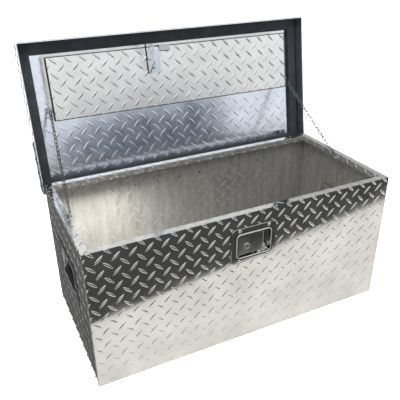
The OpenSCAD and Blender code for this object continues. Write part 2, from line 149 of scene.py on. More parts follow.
def make_camera():
    azimuth, elevation = math.radians(CAMERA_AZIMUTH), math.radians(CAMERA_ELEVATION)
    back = Vector((
        math.sin(azimuth) * math.cos(elevation),
        -math.cos(azimuth) * math.cos(elevation),
        math.sin(elevation),
    ))
    data = bpy.data.cameras.new("camera")
    data.lens, data.sensor_width = CAMERA_LENS, SENSOR_WIDTH
    data.clip_start, data.clip_end = 0.01, 50
    camera = bpy.data.objects.new("camera", data)
    camera.rotation_mode = "QUATERNION"
    roll = Matrix.Rotation(math.radians(CAMERA_ROLL), 3, "Z").to_quaternion()
    camera.rotation_quaternion = (-back).to_track_quat("-Z", "Y") @ roll
    camera.location = CAMERA_TARGET + back * CAMERA_DISTANCE
    bpy.context.scene.collection.objects.link(camera)
    bpy.context.scene.camera = camera


def flat_material(name, colour):
    mat = bpy.data.materials.new(name)
    mat.use_nodes = True
    bsdf = mat.node_tree.nodes["Principled BSDF"]
    bsdf.inputs["Base Color"].default_value = (*colour, 1)
    bsdf.inputs["Roughness"].default_value = 0.9
    return mat


def stage_card(name, corners, colour):
    """A flat piece of the studio given by its corners."""
    mesh = bpy.data.meshes.new(name)
    mesh.from_pydata([Vector(c) for c in corners], [], [range(len(corners))])
    mesh.materials.append(flat_material(name, colour))
    card = bpy.data.objects.new(name, mesh)
    bpy.context.scene.collection.objects.link(card)
    return card


def mirror_card(name, corners, colour):
    """A card that shows in the metal's reflections and nowhere else."""
    card = stage_card(name, corners, colour)
    card.visible_camera = False
    card.visible_diffuse = False
    card.visible_shadow = False
    return card


def floor_card(name, outline, colour, height=CARD_HEIGHT):
    """A mirror card lying on the floor."""
    return mirror_card(name, [(x, y, height) for x, y in outline], colour)


def make_glow(card, colour, strength=1):
    bsdf = card.data.materials[0].node_tree.nodes["Principled BSDF"]
    bsdf.inputs["Emission Color"].default_value = (*colour, 1)
    bsdf.inputs["Emission Strength"].default_value = strength


def area_light(name, place, target, size, power, colour=WHITE):
    """A soft light that is never mirrored: the metal mirrors the world and the cards alone."""
    data = bpy.data.lights.new(name, "AREA")
    data.shape, data.size, data.size_y = "RECTANGLE", size[0], size[1]
    data.energy, data.color = power, colour
    light = bpy.data.objects.new(name, data)
    light.location = place
    light.rotation_mode = "QUATERNION"
    light.rotation_quaternion = (Vector(target) - Vector(place)).to_track_quat("-Z", "Y")
    light.visible_camera = light.visible_glossy = False
    bpy.context.scene.collection.objects.link(light)


def make_world():
    """Grey behind and bright in front, where the lid's underside looks, and brighter overhead."""
    world = bpy.data.worlds.new("world")
    world.use_nodes = True
    tree = world.node_tree
    split = tree.nodes.new("ShaderNodeSeparateXYZ")
    tree.links.new(tree.nodes.new("ShaderNodeTexCoord").outputs["Generated"], split.inputs["Vector"])
    ramp = tree.nodes.new("ShaderNodeMapRange")
    ramp.inputs["From Min"].default_value = WORLD_BEHIND_FROM
    ramp.inputs["From Max"].default_value = WORLD_FRONT_FROM
    tree.links.new(split.outputs["Y"], ramp.inputs["Value"])
    mix = tree.nodes.new("ShaderNodeMix")
    mix.data_type = "RGBA"
    mix.inputs["A"].default_value = (*WORLD_BEHIND, 1)
    mix.inputs["B"].default_value = (*WORLD_FRONT, 1)
    tree.links.new(ramp.outputs["Result"], mix.inputs["Factor"])
    tree.links.new(mix.outputs["Result"], tree.nodes["Background"].inputs["Color"])
    rise = tree.nodes.new("ShaderNodeMapRange")
    rise.inputs["To Min"].default_value = WORLD_AT_HORIZON
    rise.inputs["To Max"].default_value = WORLD_OVERHEAD
    tree.links.new(split.outputs["Z"], rise.inputs["Value"])
    tree.links.new(rise.outputs["Result"], tree.nodes["Background"].inputs["Strength"])
    bpy.context.scene.world = world


def make_floor():
    half = STUDIO_HALF
    floor = stage_card("floor", [(-half, -half, 0), (half, -half, 0), (half, half, 0), (-half, half, 0)],
                       FLOOR_COLOUR)
    make_glow(floor, WHITE, FLOOR_GLOW)


def make_lights():
    area_light("key", (-0.4, -0.6, 2.6), (0, 0.1, 0.2), (2.4, 1.8), 95)
    area_light("rear", (-1.8, 1.8, 2.2), (0, 0, 0.3), (1.6, 1.2), 30)
    area_light("inside", (-0.27, 0.02, 0.298), (-0.27, 0.02, 0), (0.18, 0.16), 3.1, (1, 0.97, 0.9))


def make_front_cards():
    """What the front wall mirrors: a warm floor close by, and darkness beyond a slanting edge."""
    start = (CARDS_LEFT, 0.09)
    slant = [(-0.333, -0.376), (0.778, -0.555), (CARDS_RIGHT, -1.07)]
    near = floor_card("near_floor", [start, (-0.9, -0.285), *slant, (CARDS_RIGHT, BODY_FRONT),
                                     (CARDS_LEFT, BODY_FRONT)], BLACK)
    make_glow(near, NEAR_GLOW)
    floor_card("dark_floor", [start, *slant, (CARDS_RIGHT, -3), (CARDS_LEFT, -3)], DARK, 2 * CARD_HEIGHT)
    foot_y, foot_right, foot_top = -2.2, 2, 0.22
    mirror_card("dark_foot", [(CARDS_LEFT, foot_y, 0), (foot_right, foot_y, 0),
                              (foot_right, foot_y, foot_top), (CARDS_LEFT, foot_y, foot_top)], DARK)


def make_left_cards():
    """What the left end mirrors, and the dark band low down in the lid."""
    floor_card("left_floor", [(-2.4, BODY_FRONT), (BODY_LEFT, BODY_FRONT), (BODY_LEFT, 1.4), (-2.4, 1.4)],
               LEFT_FLOOR_GREY)
    side_x, side_front, side_back, side_top = -2.6, 0.4, 4.5, 2.6
    mirror_card("left_side", [(side_x, side_front, 0), (side_x, side_back, 0),
                              (side_x, side_back, side_top), (side_x, side_front, side_top)],
                LEFT_SIDE_GREY)
    band = [(-0.1, 0.12), (1.5, 0.12), (1.5, 0.59), (0.75, 0.59), (0.12, 0.4)]
    mirror_card("dark_band", [(x, -2.5, z) for x, z in band], BAND_BLUE)


def make_rear_cards():
    """What the back and the right end mirror."""
    far, back = 0.9, 0.6
    floor_card("right_floor", [(BODY_RIGHT, BODY_FRONT), (1.0, BODY_FRONT), (0.8, far), (BODY_RIGHT, far)],
               SIDE_GREY)
    floor_card("right_far", [(1.0, BODY_FRONT), (CARDS_RIGHT, BODY_FRONT), (CARDS_RIGHT, far), (0.8, far)],
               FAR_GREY)
    floor_card("rear_floor", [(BODY_LEFT, 0.2), (BODY_RIGHT, 0.2), (BODY_RIGHT, far), (BODY_LEFT, back)],
               SIDE_GREY)
    floor_card("rear_far", [(BODY_LEFT, back), (BODY_RIGHT, far), (CARDS_RIGHT, far), (CARDS_RIGHT, 4),
                            (BODY_LEFT, 4)], FAR_GREY)


def make_backdrop():
    """White walls and ceiling far off, seen by the camera alone."""
    half = STUDIO_HALF
    corners = [(-half, -half), (half, -half), (half, half), (-half, half)]
    walls = [[(*a, 0), (*b, 0), (*b, half), (*a, half)] for a, b in zip(corners, corners[1:] + corners[:1])]
    for number, outline in enumerate(walls + [[(*c, half) for c in corners]]):
        wall = mirror_card("backdrop_" + str(number), outline, BLACK)
        wall.visible_camera, wall.visible_glossy = True, False
        make_glow(wall, WHITE)


def make_studio():
    bpy.context.scene.view_settings.view_transform = "Standard"
    make_floor()
    make_world()
    make_lights()
    make_front_cards()
    make_left_cards()
    make_rear_cards()
    make_backdrop()


# ---------------------------------------------------------------- materials

def shader(name):
    """A new node material: its tree, its Principled node and object coordinates."""
    mat = bpy.data.materials.new(name)
    mat.use_nodes = True
    tree = mat.node_tree
    bsdf = tree.nodes["Principled BSDF"]
    coords = tree.nodes.new("ShaderNodeTexCoord").outputs["Object"]
    return mat, tree, bsdf, coords


def noise(tree, coords, scale, detail, stretch=(1, 1, 1)):
    mapping = tree.nodes.new("ShaderNodeMapping")
    mapping.inputs["Scale"].default_value = stretch
    tree.links.new(coords, mapping.inputs["Vector"])
    node = tree.nodes.new("ShaderNodeTexNoise")
    node.inputs["Scale"].default_value = scale
    node.inputs["Detail"].default_value = detail
    tree.links.new(mapping.outputs["Vector"], node.inputs["Vector"])
    return node.outputs["Fac"]


def remap(tree, noise_value, low, high):
    """Spreads the middle of a noise's range over low to high."""
    node = tree.nodes.new("ShaderNodeMapRange")
    node.inputs["From Min"].default_value, node.inputs["From Max"].default_value = 0.3, 0.7
    node.inputs["To Min"].default_value, node.inputs["To Max"].default_value = low, high
    tree.links.new(noise_value, node.inputs["Value"])
    return node.outputs["Result"]


def colour_mix(tree, factor, first, second):
    node = tree.nodes.new("ShaderNodeMix")
    node.data_type = "RGBA"
    node.inputs["A"].default_value = (*first, 1)
    node.inputs["B"].default_value = (*second, 1)
    tree.links.new(factor, node.inputs["Factor"])
    return node.outputs["Result"]


def bump(tree, height, strength, distance, after=None):
    node = tree.nodes.new("ShaderNodeBump")
    node.inputs["Strength"].default_value = strength
    node.inputs["Distance"].default_value = distance
    tree.links.new(height, node.inputs["Height"])
    if after:
        tree.links.new(after, node.inputs["Normal"])
    return node.outputs["Normal"]


GRAIN_DEPTH = 0.01 * MM
# Scale, detail and, for the streaks, the stretch of each noise in a metal
MOTTLE_NOISE = (14, 3)
SMUDGE_NOISE = (26, 3)
WAVE_NOISE = (16, 0)
STREAK_NOISE = (110, 2, (1, 1, 0.12))


def metal(name, dark, light, rough, waviness=0.0, grain_scale=900, streaks=0.0, metallic=1.0):
    """Bare metal: mottled colour, uneven roughness, fine grain and, on thin sheet, wavy reflections.

    Waviness and streaks are depths in metres. Streaks are rolling marks that run up and down."""
    mat, tree, bsdf, coords = shader(name)
    bsdf.inputs["Metallic"].default_value = metallic
    mottle = noise(tree, coords, *(STREAK_NOISE if streaks else MOTTLE_NOISE))
    tree.links.new(colour_mix(tree, remap(tree, mottle, 0, 1), dark, light), bsdf.inputs["Base Color"])
    smudge = noise(tree, coords, *SMUDGE_NOISE)
    tree.links.new(remap(tree, smudge, rough[0], rough[1]), bsdf.inputs["Roughness"])
    normal = bump(tree, noise(tree, coords, grain_scale, 2), 0.35, GRAIN_DEPTH)
    if waviness:
        normal = bump(tree, noise(tree, coords, *WAVE_NOISE), 1.0, waviness, normal)
    if streaks:
        normal = bump(tree, mottle, 1.0, streaks, normal)
    tree.links.new(normal, bsdf.inputs["Normal"])
    return mat


def rubber(name, dark, light, rough, pore_scale, pore_depth):
    """Dull black rubber, vinyl or foam with fine pores."""
    mat, tree, bsdf, coords = shader(name)
    bsdf.inputs["Specular IOR Level"].default_value = 0.35
    tree.links.new(colour_mix(tree, remap(tree, noise(tree, coords, 40, 4), 0, 1), dark, light),
                   bsdf.inputs["Base Color"])
    tree.links.new(remap(tree, noise(tree, coords, 300, 2), rough[0], rough[1]),
                   bsdf.inputs["Roughness"])
    pores = noise(tree, coords, pore_scale, 3)
    tree.links.new(bump(tree, pores, 0.6, pore_depth), bsdf.inputs["Normal"])
    return mat


MATERIALS = {
    "tread_plate": metal("tread_plate", (0.66, 0.66, 0.65), (0.8, 0.8, 0.79), (0.07, 0.13), 0.00015),
    "hinge_metal": metal("hinge_metal", (0.5, 0.5, 0.5), (0.62, 0.62, 0.62), (0.28, 0.4),
                         grain_scale=500),
    "rivet_metal": metal("rivet_metal", (0.66, 0.66, 0.66), (0.78, 0.78, 0.78), (0.14, 0.24)),
    "latch_metal": metal("latch_metal", (0.55, 0.55, 0.54), (0.66, 0.66, 0.65), (0.06, 0.12),
                         grain_scale=500),
    "lock_chrome": metal("lock_chrome", (0.7, 0.7, 0.71), (0.8, 0.8, 0.81), (0.06, 0.14)),
    "handle_metal": metal("handle_metal", (0.46, 0.46, 0.46), (0.6, 0.6, 0.61), (0.22, 0.36)),
    "zinc_steel": metal("zinc_steel", (0.55, 0.61, 0.66), (0.72, 0.78, 0.83), (0.2, 0.34)),
    "chain_steel": metal("chain_steel", (0.1, 0.1, 0.105), (0.26, 0.265, 0.27), (0.25, 0.4)),
    "foam_seal": rubber("foam_seal", (0.02, 0.022, 0.025), (0.032, 0.035, 0.04), (0.75, 0.95),
                        1400, 0.0003),
    "gasket_rubber": rubber("gasket_rubber", (0.006, 0.006, 0.006), (0.014, 0.014, 0.014),
                            (0.6, 0.8), 900, 0.0001),
    "vinyl_grip": rubber("vinyl_grip", (0.002, 0.002, 0.003), (0.006, 0.006, 0.008), (0.5, 0.65),
                         700, 0.00008),
}
# The sheet's inner side and the lug marks on it: far darker than the tread plate outside. This is partly the
# plain rolled back of the sheet and partly painted shade of the box's inside.
INNER_SHEET_SHADED = metal("inner_sheet_shaded", (0.255, 0.252, 0.239), (0.355, 0.35, 0.332), (0.31, 0.31),
                    waviness=0.0004, grain_scale=700, streaks=0.0007, metallic=0.55)
INNER_MARKS_SHADED = metal("inner_marks_shaded", (0.27, 0.267, 0.253), (0.37, 0.365, 0.347), (0.31, 0.31),
                    metallic=0.47)
# Near-black matt metal for the welds: painted shade along the box's corners and painted contact shadow at
# its foot.
WELD_SHADE_METAL = metal("weld_shade_metal", (0.09, 0.09, 0.09), (0.16, 0.16, 0.16), (0.4, 0.55), metallic=0.0)
# Under the lid: the blue tint and the extra lightness over the tread plate are painted reflection of the
# bright, cool front.
LID_SHEET_TINTED = metal("lid_sheet", (0.74, 0.78, 0.85), (0.84, 0.88, 0.95), (0.13, 0.2), 0.0003)
STIFFENER_SHEET = metal("stiffener_sheet", (0.78, 0.775, 0.76), (0.88, 0.87, 0.85), (0.2, 0.3), 0.0002)
# The paddle: a darker copy of the latch's steel, coloured as painted dark reflection.
PADDLE_FACE_SHADED = metal("paddle_face_shaded", (0.4, 0.4, 0.39), (0.52, 0.52, 0.51), (0.13, 0.22),
                    grain_scale=300)
NODE_SLOT = {s["node"]: s["material_slot"] for s in frame["record"]["subparts"]}


def paint_cad_nodes():
    for name, obj in NODES.items():
        obj.data.materials.clear()
        obj.data.materials.append(MATERIALS[NODE_SLOT[name]])


# ---------------------------------------------------------------- mesh helpers

SHEET = 2 * MM  # thickness
RIM_LIP = 14 * MM  # how far the rim's inner edge is turned down


def box_body():
    """Lowest and highest corner of the box's own sheets, without the latch and the handles."""
    low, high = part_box("wrap_sheet")
    left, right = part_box("end_panel_left")[0].x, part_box("end_panel_right")[1].x
    return Vector((left, low.y, low.z)), Vector((right, high.y, high.z))


def add_object(name, bm, slot, body, material=None):
    """A finished mesh piece: outward faces, its material and the body it rides on."""
    bmesh.ops.recalc_face_normals(bm, faces=bm.faces)
    mesh = bpy.data.meshes.new(name)
    bm.to_mesh(mesh)
    bm.free()
    mesh.materials.append(material or MATERIALS[slot])
    obj = bpy.data.objects.new(name, mesh)
    bpy.context.scene.collection.objects.link(obj)
    if body:
        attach(obj, body)
    return obj


def shade(obj, angle):
    """Smooth shading, with edges kept sharp where the faces meet at more than the angle in degrees."""
    obj.data.shade_smooth()
    obj.data.set_sharp_from_angle(angle=math.radians(angle))


# ---------------------------------------------------------------- tread lugs

LUG_PITCH = 35 * MM
LUG_LENGTH = 27.5 * MM
LUG_WIDTH = 6.6 * MM
LUG_HEIGHT = 1.2 * MM
LUG_SINK = 0.3 * MM  # its foot lies this deep in the sheet
LUG_STATIONS = 8  # steps along a lug
# Across a lug: share of its half width, and of its height
LUG_SECTION = ((-1.0, 0.0), (-0.8, 0.5), (-0.36, 0.93), (0.0, 1.0), (0.36, 0.93), (0.8, 0.5), (1.0, 0.0))

# Share of a lug's height: flattened where the rim is folded and the foam lies on it, and the faint
# marks on the plain side of the sheet
RIM_RISE = 0.7
BOX_IMPRINT_RISE = 0.4
LID_IMPRINT_RISE = 0.14

# Where the pattern starts on a panel
WALL_PHASE = (14 * MM, 3 * MM)
END_PHASE = (20 * MM, 3 * MM)
STIFFENER_PHASE = (16 * MM, 8 * MM)
PANEL_MARGIN = 0.6 * MM
STIFFENER_HEM = 6 * MM


def lug_template():
    """Points and faces of one pointed lug along its own x axis: a low top, sloped sides and a sunk foot."""
    points, faces = [(-LUG_LENGTH / 2, 0, -LUG_SINK)], []
    for i in range(1, LUG_STATIONS):
        along = -math.cos(math.pi * i / LUG_STATIONS)
        half = LUG_WIDTH / 2 * (1 - along * along) ** 0.9
        top = LUG_SINK + LUG_HEIGHT * (1 - along * along) ** 0.6
        for across, rise in LUG_SECTION:
            points.append((along * LUG_LENGTH / 2, across * half, top * rise - LUG_SINK))
    points.append((LUG_LENGTH / 2, 0, -LUG_SINK))
    row = len(LUG_SECTION)
    last = len(points) - 1
    for k in range(row):
        after = (k + 1) % row
        faces.append((0, 1 + k, 1 + after))
        end = 1 + (LUG_STATIONS - 2) * row
        faces.append((last, end + after, end + k))
        for i in range(LUG_STATIONS - 2):
            first = 1 + i * row
            faces.append((first + k, first + row + k, first + row + after, first + after))
    return points, faces


LUG_POINTS, LUG_FACES = lug_template()


def lug_centres(width, height, phase):
    """(u, v, angle) of the lugs that reach into a panel: u from its left edge, v down from its top."""
    half_pitch = LUG_PITCH / 2
    for falling in (True, False):
        u0 = (phase[0] + (0 if falling else half_pitch)) % LUG_PITCH - LUG_PITCH
        v0 = (phase[1] + (0 if falling else half_pitch)) % LUG_PITCH - LUG_PITCH
        for i in range(int(width / LUG_PITCH) + 3):
            for j in range(int(height / LUG_PITCH) + 3):
                yield u0 + i * LUG_PITCH, v0 + j * LUG_PITCH, -45 if falling else 45


def add_lug(bm, centre, right, down, angle, rise):
    turn = math.radians(angle)
    along = right * math.cos(turn) - down * math.sin(turn)
    across = right * math.sin(turn) + down * math.cos(turn)
    out = down.cross(right)
    verts = [bm.verts.new(centre + along * x + across * y + out * z * rise) for x, y, z in LUG_POINTS]
    for face in LUG_FACES:
        bm.faces.new([verts[k] for k in face])


def trim_panel(bm, cuts):
    """Cuts the lugs off at planes, given as (point, outward direction), and closes them."""
    for point, outward in cuts:
        geometry = bm.verts[:] + bm.edges[:] + bm.faces[:]
        bmesh.ops.bisect_plane(bm, geom=geometry, plane_co=point, plane_no=outward, clear_outer=True)
        open_edges = [e for e in bm.edges if e.is_boundary]
        bmesh.ops.holes_fill(bm, edges=open_edges, sides=0)


def lug_panel(bm, corner, right, down, width, height, phase=WALL_PHASE, holes=(), rise=1.0):
    """Adds lugs on a rectangle whose top left corner, right and down directions are given.

    Holes are (u1, v1, u2, v2) rectangles on which no lug may start or reach. A low rise makes the
    faint imprint that the lugs leave on the sheet's plain side."""
    reach = LUG_LENGTH / 2 * math.sqrt(0.5)
    panel = bmesh.new()
    for u, v, angle in lug_centres(width, height, phase):
        if not (-reach < u < width + reach and -reach < v < height + reach):
            continue
        if any(u1 - reach < u < u2 + reach and v1 - reach < v < v2 + reach for u1, v1, u2, v2 in holes):
            continue
        add_lug(panel, corner + right * u + down * v, right, down, angle, rise)
    edge = PANEL_MARGIN
    trim_panel(panel, [(corner + right * edge, -right), (corner + right * (width - edge), right),
                       (corner + down * edge, -down), (corner + down * (height - edge), down)])
    bmesh.ops.recalc_face_normals(panel, faces=panel.faces)
    mesh = bpy.data.meshes.new("panel")
    panel.to_mesh(mesh)
    panel.free()
    bm.from_mesh(mesh)
    bpy.data.meshes.remove(mesh)


def hole_of(node, corner, right, down, grow):
    """Rectangle (u1, v1, u2, v2) that a node's box covers on a panel, made larger by grow."""
    low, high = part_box(node)
    us = [(p - corner).dot(right) for p in (low, high)]
    vs = [(p - corner).dot(down) for p in (low, high)]
    return min(us) - grow, min(vs) - grow, max(us) + grow, max(vs) + grow


def wall_lugs(bm, low, high):
    """The four outer walls: on each, a node leaves a hole that is smaller than the node's box."""
    size = high - low
    pan, dish, leaf = -24 * MM, -24 * MM, -5 * MM
    for x, y, right, width, phase, node, grow in (
            (low.x, low.y, X, size.x, WALL_PHASE, "latch_dish", dish),
            (high.x, high.y, -X, size.x, WALL_PHASE, "hinge_leaf_box", leaf),
            (low.x, high.y, -Y, size.y, END_PHASE, "handle_pan_left", pan),
            (high.x, low.y, Y, size.y, END_PHASE, "handle_pan_right", pan)):
        corner = Vector((x, y, high.z))
        lug_panel(bm, corner, right, -Z, width, size.z, phase, [hole_of(node, corner, right, -Z, grow)])


def rim_lugs(bm, low, high, rim):
    """The four strips of the rim, rim wide."""
    size = high - low
    for x, y, right, down, width, phase in (
            (low.x + rim, low.y + rim, X, -Y, size.x - 2 * rim, WALL_PHASE),
            (high.x - rim, high.y - rim, -X, Y, size.x - 2 * rim, WALL_PHASE),
            (low.x + rim, high.y, -Y, -X, size.y, END_PHASE),
            (high.x - rim, low.y, Y, X, size.y, END_PHASE)):
        lug_panel(bm, Vector((x, y, high.z)), right, down, width, rim, phase, rise=RIM_RISE)


def lip_lugs(bm, inner):
    """The turned-down lips along the rim's inner edge: inner is its back right corner."""
    for x, y, right, width in ((-inner.x, inner.y, X, inner.x * 2), (inner.x, -inner.y, -X, inner.x * 2),
                               (inner.x, inner.y, -Y, inner.y * 2), (-inner.x, -inner.y, Y, inner.y * 2)):
        lug_panel(bm, Vector((x, y, inner.z)), right, -Z, width, RIM_LIP)


def make_box_lugs():
    low, high = box_body()
    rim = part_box("end_panel_left")[1].x - low.x
    bm = bmesh.new()
    wall_lugs(bm, low, high)
    rim_lugs(bm, low, high, rim)
    lip_lugs(bm, Vector((high.x - rim, high.y - rim, high.z)))
    shade(add_object("box_lugs", bm, "tread_plate", "box"), 32)


def make_lid_lugs():
    low, high = closed_box("lid_shell")
    size = high - low
    hinge_strip = (0, 18 * MM, size.x, 27 * MM)
    bm = bmesh.new()
    lug_panel(bm, Vector((low.x, high.y, high.z)), X, -Y, size.x, size.y)
    lug_panel(bm, Vector((low.x, low.y, high.z)), X, -Z, size.x, size.z)
    lug_panel(bm, Vector((high.x, high.y, high.z)), -X, -Z, size.x, size.z - 6 * MM, holes=[hinge_strip])
    lug_panel(bm, Vector((low.x, high.y, high.z)), -Y, -Z, size.y, size.z)
    lug_panel(bm, Vector((high.x, low.y, high.z)), Y, -Z, size.y, size.z)
    low, high = closed_box("stiffener")
    hem = STIFFENER_HEM
    lug_panel(bm, Vector((low.x + hem, low.y + hem, low.z)), X, Y,
              high.x - low.x - 2 * hem, high.y - low.y - 2 * hem, STIFFENER_PHASE)
    bm.transform(LID_OPEN)
    shade(add_object("lid_lugs", bm, "tread_plate", "lid"), 32)


def make_box_imprints():
    """The faint backs of the lugs on the inner walls and the floor."""
    high = box_body()[1]
    x, y, top = high.x - SHEET, high.y - SHEET, high.z - RIM_LIP
    bm = bmesh.new()
    lug_panel(bm, Vector((-x, y, top)), X, -Z, 2 * x, top, rise=BOX_IMPRINT_RISE)
    for corner, right, width, node, grow in (
            (Vector((x, y, top)), -Y, 2 * y, "handle_pan_right", -6 * MM),
            (Vector((-x, -y, top)), Y, 2 * y, "handle_pan_left", -6 * MM),
            (Vector((x, -y, top)), -X, 2 * x, "latch_housing", 4 * MM)):
        lug_panel(bm, corner, right, -Z, width, top, rise=BOX_IMPRINT_RISE,
                  holes=[hole_of(node, corner, right, -Z, grow)])
    lug_panel(bm, Vector((-x, y, SHEET)), X, -Y, 2 * x, 2 * y, rise=BOX_IMPRINT_RISE)
    shade(add_object("box_imprints", bm, "tread_plate", "box", INNER_MARKS_SHADED), 75)


def make_lid_imprints():
    """The faint backs of the lugs under the lid, between the seals and round the stiffener."""
    inner_corner = closed_box("seal_left")[1]
    front, back = closed_box("seal_front")[1].y, closed_box("seal_back")[0].y
    corner = Vector((inner_corner.x, front, inner_corner.z))
    stiffener_low, stiffener_high = closed_box("stiffener")
    inset = 2 * MM
    stiffener = (stiffener_low.x - corner.x + inset, stiffener_low.y - corner.y + inset,
                 stiffener_high.x - corner.x - inset, stiffener_high.y - corner.y - inset)
    bm = bmesh.new()
    lug_panel(bm, corner, X, Y, -2 * corner.x, back - front, holes=[stiffener], rise=LID_IMPRINT_RISE)
    bm.transform(LID_OPEN)
    shade(add_object("lid_imprints", bm, "tread_plate", "lid", LID_SHEET_TINTED), 75)


# ---------------------------------------------------------------- sheet metal with rounded edges

def copy_mesh(node):
    """A CAD node's own shape as a bmesh, with its flat faces joined up."""
    bm = bmesh.new()
    bm.from_mesh(NODES[node].data)
    bmesh.ops.remove_doubles(bm, verts=bm.verts, dist=1e-6)
    bmesh.ops.dissolve_limit(bm, angle_limit=math.radians(2), verts=bm.verts, edges=bm.edges)
    return bm


def round_edges(obj, width, segments):
    bevel = obj.modifiers.new("rounded", "BEVEL")
    bevel.width, bevel.segments = width, segments
    bevel.limit_method, bevel.angle_limit = "ANGLE", math.radians(35)
    bevel.use_clamp_overlap = True
    obj.data.shade_smooth()
    keep_flats(obj)


def keep_flats(obj):
    """Large flat faces keep their own direction, so that only the bends shade round."""
    normals = obj.modifiers.new("flat_faces", "WEIGHTED_NORMAL")
    normals.keep_sharp = True


def refined(node, width, material=None, segments=2):
    """The CAD node's shape with its sharp edges rounded, standing for the node."""
    slot = NODE_SLOT[node]
    obj = add_object(node + "_rounded", copy_mesh(node), slot, body_of(NODES[node])[0], material)
    round_edges(obj, width, segments)
    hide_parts(node)
    return obj


def inner_faces(obj, is_inner, material):
    """Gives the faces whose centre passes the test a second material."""
    obj.data.materials.append(material)
    for face in obj.data.polygons:
        if is_inner(face.center):
            face.material_index = 1


SKIN = 1 * MM  # a face deeper than this is on the sheet's inner side

ROUNDED_PARTS = (  # node, rounding in mm, material and segments
    ("stiffener", 0.9, STIFFENER_SHEET, 2),
    ("striker", 0.6, None, 2),
    ("stop_clip", 0.5, None, 2),
    ("paddle", 1.8, PADDLE_FACE_SHADED, 4),
    ("lock_barrel", 0.7, None, 3),
    ("lock_plug", 0.3, None, 2),
    ("latch_gasket", 0.3, None, 2),
    ("latch_housing", 0.6, None, 2),
    ("slide_bolt", 0.5, None, 2),
)


def make_box_sheets():
    low, high = box_body()
    depth = 1.5 * MM

    def inside_box(centre):
        return (low.x + depth < centre.x < high.x - depth and low.y + depth < centre.y < high.y - depth
                and SKIN < centre.z < high.z - SKIN)

    for node in ("wrap_sheet", "end_panel_left", "end_panel_right"):
        # The faces inside the box take the darker inner sheet: painted shade of the box's inside.
        inner_faces(refined(node, 0.7 * MM), inside_box, INNER_SHEET_SHADED)


def make_lid_sheet():
    low, high = closed_box("lid_shell")

    def under_lid(centre):
        here = LID_CLOSED @ centre
        return (here.z < high.z - SKIN and low.x + SKIN < here.x < high.x - SKIN
                and low.y + SKIN < here.y < high.y - SKIN)

    inner_faces(refined("lid_shell", 0.7 * MM), under_lid, LID_SHEET_TINTED)


def make_rounded_parts():
    for node, rounding, material, segments in ROUNDED_PARTS:
        refined(node, rounding * MM, material, segments)


# ---------------------------------------------------------------- pressed dishes

CORNER_STEPS = 6  # faces round a rounded corner or a bend


def rounded_ring(bm, axes, centre, width, height, radius, level):
    """Vertices of a rounded rectangle: axes are its right, up and outward directions."""
    right, up, out = axes
    ring = []
    for corner, (sx, sy) in enumerate(((1, 1), (-1, 1), (-1, -1), (1, -1))):
        for i in range(CORNER_STEPS + 1):
            turn = math.pi / 2 * (corner + i / CORNER_STEPS)
            u = sx * (width / 2 - radius) + radius * math.cos(turn)
            v = sy * (height / 2 - radius) + radius * math.sin(turn)
            ring.append(bm.verts.new(centre + right * u + up * v + out * level))
    return ring


def pressed_rings(bm, axes, centre, width, height, rows):
    """A ring for each row: growth and corner radius in mm, level, and rise over the level in mm."""
    return [rounded_ring(bm, axes, centre, width + grow * MM, height + grow * MM, radius * MM,
                         level + rise * MM) for grow, radius, level, rise in rows]


def bridge(bm, first, second):
    """Faces between two rings of the same number of vertices."""
    count = len(first)
    for i in range(count):
        j = (i + 1) % count
        bm.faces.new((first[i], first[j], second[j], second[i]))


def loft(bm, rings):
    for first, second in zip(rings, rings[1:]):
        bridge(bm, first, second)


def loop_edges(bm, ring):
    pairs = zip(ring, ring[1:] + ring[:1])
    return [bm.edges.get(pair) or bm.edges.new(pair) for pair in pairs]


def thicken(obj, thickness):
    """Gives an open sheet its thickness, behind the face that was drawn."""
    solid = obj.modifiers.new("thickness", "SOLIDIFY")
    solid.thickness, solid.offset = thickness, -1
    keep_flats(obj)


def face_towards(bm, direction):
    """Turns the faces of an open sheet so that its flat parts look along the direction."""
    total = sum((f.normal * f.calc_area() for f in bm.faces), Vector())
    if total.dot(direction) < 0:
        bmesh.ops.reverse_faces(bm, faces=bm.faces)


def add_open_sheet(name, bm, slot, body, direction):
    """A sheet with open borders: its face directions are kept as made."""
    bm.normal_update()
    face_towards(bm, direction)
    mesh = bpy.data.meshes.new(name)
    bm.to_mesh(mesh)
    bm.free()
    mesh.materials.append(MATERIALS[slot])
    obj = bpy.data.objects.new(name, mesh)
    bpy.context.scene.collection.objects.link(obj)
    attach(obj, body)
    return obj


def dish_slots():
    """(left, right, half height) of the slots behind the paddle, for its tail and for the lock."""
    pivot = JOINTS["paddle_pivot"]["pos_m"][0]
    lock = JOINTS["lock_turn"]["pos_m"][0]
    return ((pivot - 4 * MM, pivot + 9 * MM, 5.5 * MM), (lock - 8 * MM, lock + 20 * MM, 18 * MM))


def dish_floor(bm, ring, level, middle_z):
    """Fills the dish's last ring, with the slots left open."""
    edges = loop_edges(bm, ring)
    for x1, x2, half in dish_slots():
        corners = ((x1, -half), (x2, -half), (x2, half), (x1, half))
        edges += loop_edges(bm, [bm.verts.new((x, -level, middle_z + z)) for x, z in corners])
    bmesh.ops.triangle_fill(bm, use_beauty=True, edges=edges)


